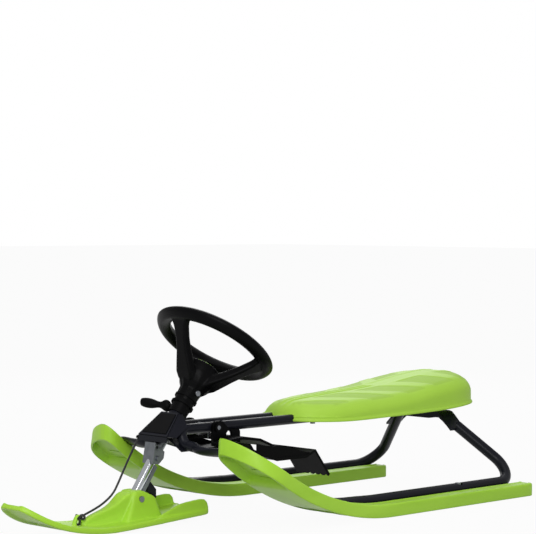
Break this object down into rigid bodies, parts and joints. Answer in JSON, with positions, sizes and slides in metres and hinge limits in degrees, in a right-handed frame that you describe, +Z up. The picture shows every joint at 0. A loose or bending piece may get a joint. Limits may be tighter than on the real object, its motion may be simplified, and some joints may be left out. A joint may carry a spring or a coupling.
{
  "type": "steering sled",
  "caption": "Snow sled with a steering wheel on a raked column, a turning front ski, rear skis on a bent tube frame, a moulded seat and a toothed foot brake.",
  "frame": {"origin": "on the ground under the middle of the sled's box", "axes": "+X forward along the sled, +Y to the rider's left, +Z up"},
  "size_m": [1.1596, 0.504, 0.3941],
  "materials": {
    "green_plastic": "satin",
    "frame_paint": "satin",
    "brake_paint": "satin",
    "black_plastic": "satin",
    "bush_plastic": "satin",
    "plated_steel": "satin",
    "leg_chrome": "gloss",
    "black_cord": "matte"
  },
  "bodies": {
    "frame": {"rear_ski_left": "green_plastic", "rear_ski_right": "green_plastic", "seat_shell": "green_plastic", "ski_rail_left": "frame_paint", "ski_rail_right": "frame_paint", "rear_bridge": "frame_paint", "seat_tube_left": "frame_paint", "seat_tube_right": "frame_paint", "head_tube": "frame_paint", "head_bridge": "frame_paint", "head_gussets": "frame_paint", "steering_console": "frame_paint", "console_plate": "black_plastic", "upper_bush": "bush_plastic", "lower_bush": "bush_plastic", "column_collar": "black_plastic", "handle_dock": "black_plastic", "rail_bolts": "plated_steel", "rail_washers": "plated_steel", "rail_nuts": "plated_steel", "seat_screws": "plated_steel", "brake_rod": "plated_steel", "rod_caps": "black_plastic", "cord_eyelet": "black_plastic", "tow_cord": "black_cord"},
    "steering": {"steering_wheel": "black_plastic", "wheel_cap": "green_plastic", "hub_bolt": "plated_steel", "hub_nut": "plated_steel", "steering_column": "plated_steel", "steering_yoke": "plated_steel", "yoke_bolt": "plated_steel", "yoke_nut": "plated_steel", "leg_tube": "leg_chrome", "leg_channel": "plated_steel", "leg_stay": "frame_paint", "front_ski": "green_plastic", "tower_bolt": "plated_steel", "tower_nut": "plated_steel", "tow_knot": "black_cord"},
    "brake": {"brake_pedal": "brake_paint", "brake_studs": "plated_steel", "brake_spring": "plated_steel"},
    "tow_handle": {"tow_handle": "black_plastic"}
  },
  "joints": [
    {"name": "steering_turn", "type": "hinge", "parent": "frame", "child": "steering", "pos_m": [0.1757, 0, 0.2129], "axis": [-0.6293, 0, 0.7771], "range_deg": [-25, 25], "deforming": ["tow_cord"]},
    {"name": "brake_turn", "type": "hinge", "parent": "frame", "child": "brake", "pos_m": [0.128, 0, 0.169], "axis": [0, -1, 0], "range_deg": [0, 20], "stiffness_Nm_per_rad": 1.5, "springref_deg": -28.65},
    {"name": "handle_pull", "type": "slide", "parent": "frame", "child": "tow_handle", "axis": [0.4041, -0.9091, 0.101], "range_m": [0, 0.03]}
  ]
}
